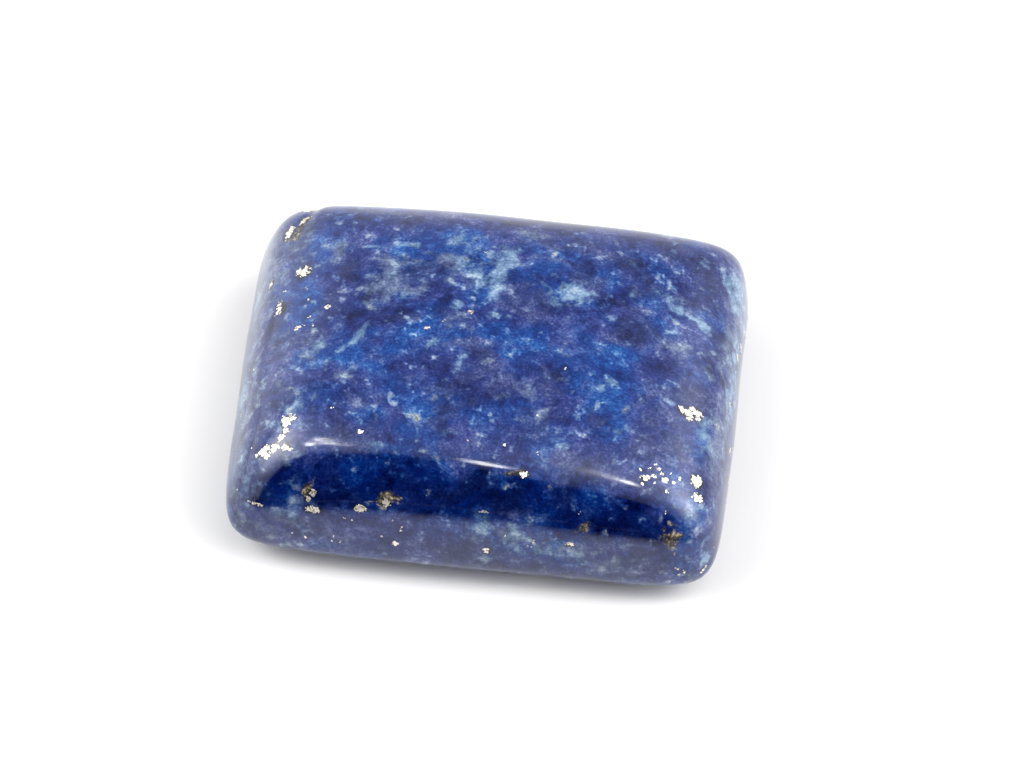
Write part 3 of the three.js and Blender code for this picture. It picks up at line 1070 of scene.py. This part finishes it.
def noise(graph, place, pattern, output="Fac"):
    sockets = {
        "Vector": place,
        "Scale": 1 / pattern.size,
        "Detail": pattern.detail,
        "Roughness": pattern.roughness,
    }
    return graph.add("ShaderNodeTexNoise", inputs=sockets, output=output)


def either_way(graph, place, pattern):
    """Noise about zero."""
    return noise(graph, place, pattern) - 0.5


def swirled(graph, place, pattern, reach):
    """A place pushed about by noise, so that what is drawn at it swirls."""
    push = vector_math(graph, "SUBTRACT", noise(graph, place, pattern, "Color"), HALF_GREY)
    return vector_math(graph, "ADD", place, scaled(graph, push, reach))


def stretched(graph, place, turn, share):
    """A place for patterns drawn out along a line turned this far from the stone's length."""
    sockets = {"Vector": place, "Rotation": (0, 0, math.radians(turn)), "Scale": (share, 1, 1)}
    return graph.add("ShaderNodeMapping", inputs=sockets)


def painted(graph, tone, stops):
    """The colour of a tone on a ramp of these stops."""
    return graph.add("ShaderNodeValToRGB", {"stops": stops}, {"Fac": tone})


def marking(graph, kind):
    """How strongly one kind of marking shows."""
    return graph.add("ShaderNodeAttribute", {"attribute_name": kind}, output="Fac")


def in_millimetres(graph):
    return scaled(graph, graph.add("ShaderNodeTexCoord", output="Object"), 1 / MM)


def grouped(graph, place, pattern, groups):
    """Soft-edged patches, where the first noise is high, kept where the second is high too."""
    patches = noise(graph, place, pattern).step(*FLECK_EDGE)
    return patches * noise(graph, place, groups).step(*FLECK_GROUP_EDGE)


def fleck_share(graph, place):
    """The flecks of calcite, the large ones and the small, fewer where the rock is violet."""
    large = grouped(graph, place, FLECKS, FLECK_GROUPS)
    small = grouped(graph, place, SMALL_FLECKS, SMALL_FLECK_GROUPS)
    plain = 1 - marking(graph, "violet") * FLECKS_LOST_IN_VIOLET
    return large * plain, small * plain


def rock_tone(graph, place, flecks):
    """How pale the rock is here: its mottling, its fine grain, its flecks and its markings."""
    tone = MIDDLE_TONE + either_way(graph, place, CLOUDS) * CLOUD_TONE
    tone = tone + either_way(graph, place, MOTTLE) * MOTTLE_TONE
    tone = tone + either_way(graph, place, SPECKLE) * SPECKLE_TONE
    tone = tone + noise(graph, place, DARK_PATCHES).step(*DARK_PATCH_EDGE) * DARK_PATCH_TONE
    tone = tone + flecks[0] * FLECK_TONE + flecks[1] * SMALL_FLECK_TONE
    tone = tone + marking(graph, "pale") * PALE_TONE + marking(graph, "mist") * MIST_TONE
    return tone + marking(graph, "night") * NIGHT_TONE


def rock_colour(graph, place, tone, flecks):
    """The colour of the plain rock: between violet and azure, and dusky in places."""
    hue = MIDDLE_HUE + either_way(graph, place, HUE_DRIFT) * DRIFT_HUE + flecks[0] * FLECK_HUE
    hue = hue + marking(graph, "azure") * AZURE_HUE + marking(graph, "violet") * VIOLET_HUE
    violet = painted(graph, tone, VIOLET_STOPS)
    base = mix(graph, hue.step(0, 1), violet, painted(graph, tone, AZURE_STOPS))
    dusk = noise(graph, place, DUSK) + marking(graph, "violet") * VIOLET_DUSK
    dusk = (dusk + marking(graph, "azure") * AZURE_DUSK).step(*DUSK_EDGE)
    return mix(graph, dusk * DUSK_SHARE, base, painted(graph, tone, DUSK_STOPS))


def marked_colour(graph, place, tone, base):
    """The rock's colour with its markings over it."""
    ragged = either_way(graph, place, RAGGED) * RAGGED_REACH
    mist = (marking(graph, "mist") + ragged).step(*MIST_EDGE)
    base = mix(graph, mist * MIST_SHARE, base, painted(graph, tone, MIST_STOPS))
    pale = (marking(graph, "pale") + ragged).step(*PALE_EDGE)
    base = mix(graph, pale * PALE_SHARE, base, painted(graph, tone, PALE_STOPS))
    # The deep marking darkens the colour: painted shade along the front shoulder, deeper blue patches on
    # the other sides.
    deep = marking(graph, "deep") + ragged * DEEP_BLUE_AND_SHADE_RAGGEDNESS - mist * DEEP_BLUE_AND_SHADE_LOST_IN_MIST
    base = mix(graph, deep.step(*DEEP_BLUE_AND_SHADE_EDGE), base, vector_math(graph, "MULTIPLY", base, DEEP_BLUE_AND_SHADE_TINT))
    rusty = tone + either_way(graph, place, RUST_GRAIN) * RUST_GRAIN_TONE
    rust = (marking(graph, "rust") + ragged * RUST_RAGGEDNESS).step(*RUST_EDGE)
    base = mix(graph, rust * RUST_SHARE, base, painted(graph, rusty, RUST_STOPS))
    matrix = marking(graph, "matrix").step(*MATRIX_EDGE)
    return mix(graph, matrix * MATRIX_SHARE, base, opaque(MATRIX_COLOUR))


def polish(graph, place):
    """The faint ripple and the finest scratches of the polish."""
    scratched = stretched(graph, place, SCRATCH_TURN, SCRATCH_SHARE)
    ripple = noise(graph, place, RIPPLE) * RIPPLE_HEIGHT
    height = ripple + noise(graph, scratched, SCRATCHES) * SCRATCH_HEIGHT
    return graph.add("ShaderNodeBump", inputs={"Height": height, "Distance": MM, "Strength": 1.0})


def lapis_finish():
    material, graph = new_material("polished_lapis")
    place = in_millimetres(graph)
    swirl = swirled(graph, place, BROAD_SWIRL, BROAD_SWIRL_REACH)
    drawn = stretched(graph, swirl, GRAIN_LINE_TURN, GRAIN_LINE_SHARE)
    flecks = fleck_share(graph, place)
    tone = rock_tone(graph, drawn, flecks)
    base = rock_colour(graph, drawn, tone, flecks)
    sockets = {
        "Base Color": marked_colour(graph, place, tone, base),
        "Roughness": POLISH_ROUGHNESS,
        "IOR": POLISH_IOR,
        "Normal": polish(graph, place),
    }
    end_material(graph, graph.add("ShaderNodeBsdfPrincipled", inputs=sockets))
    return material


def pyrite_finish():
    material, graph = new_material("pyrite")
    tarnish = noise(graph, in_millimetres(graph), TARNISH).step(*TARNISH_EDGE)
    base = mix(graph, tarnish, opaque(BRIGHT_PYRITE), opaque(TARNISHED_PYRITE))
    sockets = {"Base Color": base, "Metallic": 1.0, "Roughness": PYRITE_ROUGHNESS}
    end_material(graph, graph.add("ShaderNodeBsdfPrincipled", inputs=sockets))
    return material


# ---- The studio --------------------------------------------------------------------------------------

FLOOR_HALF = 3.0  # metres
FLOOR_COLOUR = (0.765, 0.760, 0.755)
FLOOR_ROUGHNESS = 0.9
WHITE = (1, 1, 1)
BLACK = (0, 0, 0)

# The camera: where it stands in degrees, how far off in metres, and what it aims at.
CAMERA_AZIMUTH = 6.2
CAMERA_ELEVATION = 52
CAMERA_DISTANCE = 0.3
CAMERA_AIM = Vector((1.207, 0.478, 3.5)) * MM
CAMERA_LENS = 207.1
CAMERA_NEAREST = 0.01

# The white tent: its strength at the horizon, how much dimmer it is at its top, and the heights, as sines,
# between which it dims.
TENT_STRENGTH = 1.1
TENT_TOP_DROP = 0.72
TENT_DROP_FROM = 0.05
TENT_DROP_TO = 0.75

# Soft lamps behind the tent, by where they stand and how wide they are, in degrees: azimuth 0 is in front
# and 90 to the right.
Lamp = namedtuple("Lamp", "azimuth elevation spread strength")
LAMPS = [
    Lamp(-80, 49, 9.5, 11.5),
    Lamp(-61, 34, 8, 2.8),
    Lamp(-100, 2, 22, 1.6),
    Lamp(-134, 26, 13, 0.65),
    Lamp(88, 44.5, 15, 8.5),
    Lamp(128, 34, 8, 1.6),
    Lamp(51, 81, 8.5, 1.1),
    Lamp(-60.5, 64.5, 0.8, 30),
    Lamp(-65.5, 67.8, 0.9, 20),
    Lamp(-58.5, 67.5, 0.7, 20),
    Lamp(-15, 74, 0.8, 22),
    Lamp(-11, 72.4, 0.8, 25),
    Lamp(41.8, 76.2, 1.0, 32),
    Lamp(40, 79.5, 1.6, 3.5),
    Lamp(90, 41, 3, 7),
]

# The tent's open front is dark: what lies on the inner side of all three planes through the stone.
OPENING = [
    Vector((0.535, -0.838, -0.112)),
    Vector((-0.643, -0.766, -0.384)),
    Vector((0.792, -0.601, 0.113)),
]
OPENING_SOFTNESS = 0.03

# The dark bench in front of the stone, in metres: where along Y it begins, is fully dark and ends. Each
# side has its X at the near edge, and how far it moves in X for each metre away.
BenchSide = namedtuple("BenchSide", "near spread")
BENCH_NEAR = -0.018
BENCH_FULL = -0.040
BENCH_FAR = -1.0
BENCH_LEFT = BenchSide(-0.021, -1.0)
BENCH_RIGHT = BenchSide(0.024, 1.2)
BENCH_LIFT = 0.02 * MM


def direction(azimuth, elevation):
    """A unit vector from the stone: azimuth 0 is towards the front, 90 to the right."""
    turn = math.radians(azimuth)
    rise = math.radians(elevation)
    return Vector((math.sin(turn) * math.cos(rise), -math.cos(turn) * math.cos(rise), math.sin(rise)))


def stage_mesh(name, points, material):
    """A flat four-cornered piece of the studio."""
    mesh = bpy.data.meshes.new(name)
    mesh.from_pydata(points, [], [range(len(points))])
    mesh.materials.append(material)
    thing = bpy.data.objects.new(name, mesh)
    bpy.context.scene.collection.objects.link(thing)
    return thing


def build_floor():
    material, graph = new_material("pale_floor")
    sockets = {"Base Color": opaque(FLOOR_COLOUR), "Roughness": FLOOR_ROUGHNESS}
    end_material(graph, graph.add("ShaderNodeBsdfPrincipled", inputs=sockets))
    corners = [(-1, -1), (1, -1), (1, 1), (-1, 1)]
    stage_mesh("floor", [(x * FLOOR_HALF, y * FLOOR_HALF, 0) for x, y in corners], material)


def build_bench():
    """A dark bench in front that the camera doesn't see, so that the floor itself stays pale all round."""
    material, graph = new_material("dark_bench")
    nearness = split(graph, graph.add("ShaderNodeTexCoord", output="Object"))[1]
    underneath = graph.add("ShaderNodeNewGeometry", output="Backfacing")
    cover = (-nearness).step(-BENCH_NEAR, -BENCH_FULL) * (1 - underneath)
    dark = graph.add("ShaderNodeEmission", inputs={"Color": opaque(BLACK)})
    clear = graph.add("ShaderNodeBsdfTransparent")
    end_material(graph, graph.add("ShaderNodeMixShader", inputs={0: cover, 1: clear, 2: dark}))
    run = BENCH_NEAR - BENCH_FAR
    points = [
        (BENCH_LEFT.near, BENCH_NEAR, BENCH_LIFT),
        (BENCH_LEFT.near + BENCH_LEFT.spread * run, BENCH_FAR, BENCH_LIFT),
        (BENCH_RIGHT.near + BENCH_RIGHT.spread * run, BENCH_FAR, BENCH_LIFT),
        (BENCH_RIGHT.near, BENCH_NEAR, BENCH_LIFT),
    ]
    bench = stage_mesh("dark_bench", points, material)
    bench.visible_camera = False
    bench.visible_shadow = False


def build_world():
    """A white tent with soft lamps behind it, open and dark towards the front."""
    world = bpy.data.worlds.new("white_tent")
    world.use_nodes = True
    world.node_tree.nodes.clear()
    graph = Graph(world.node_tree)
    way = split(graph, graph.add("ShaderNodeTexCoord", output="Generated"))
    light = TENT_STRENGTH - way[2].step(TENT_DROP_FROM, TENT_DROP_TO) * TENT_TOP_DROP
    for lamp in LAMPS:
        nearness = dot(direction(lamp.azimuth, lamp.elevation), way) - 1
        light = light + (nearness / math.radians(lamp.spread) ** 2).exponential() * lamp.strength
    inside = 1
    for plane in OPENING:
        inside = inside * dot(plane, way).step(-OPENING_SOFTNESS, OPENING_SOFTNESS)
    sockets = {"Color": opaque(WHITE), "Strength": light * (1 - inside)}
    background = graph.add("ShaderNodeBackground", inputs=sockets)
    graph.add("ShaderNodeOutputWorld", inputs={"Surface": background})
    bpy.context.scene.world = world


def build_camera():
    data = bpy.data.cameras.new("camera")
    data.lens = CAMERA_LENS
    data.clip_start = CAMERA_NEAREST
    camera = bpy.data.objects.new("camera", data)
    bpy.context.scene.collection.objects.link(camera)
    back = direction(CAMERA_AZIMUTH, CAMERA_ELEVATION)
    camera.location = CAMERA_AIM + back * CAMERA_DISTANCE
    camera.rotation_mode = "QUATERNION"
    camera.rotation_quaternion = (-back).to_track_quat("-Z", "Y")
    bpy.context.scene.camera = camera


# ---- All of it, in its frame -------------------------------------------------------------------------

def add_piece(piece):
    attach(piece, BODY)


build_camera()
build_world()
build_floor()
build_bench()
stone = build_stone(lapis_finish())
skin = BVHTree.FromObject(stone, bpy.context.evaluated_depsgraph_get())
pyrite = build_pyrite(stone, skin, pyrite_finish())
mark(stone.data, skin)
add_piece(stone)
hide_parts(STONE_NODE)
add_piece(pyrite)
bpy.context.scene.view_settings.view_transform = "Standard"
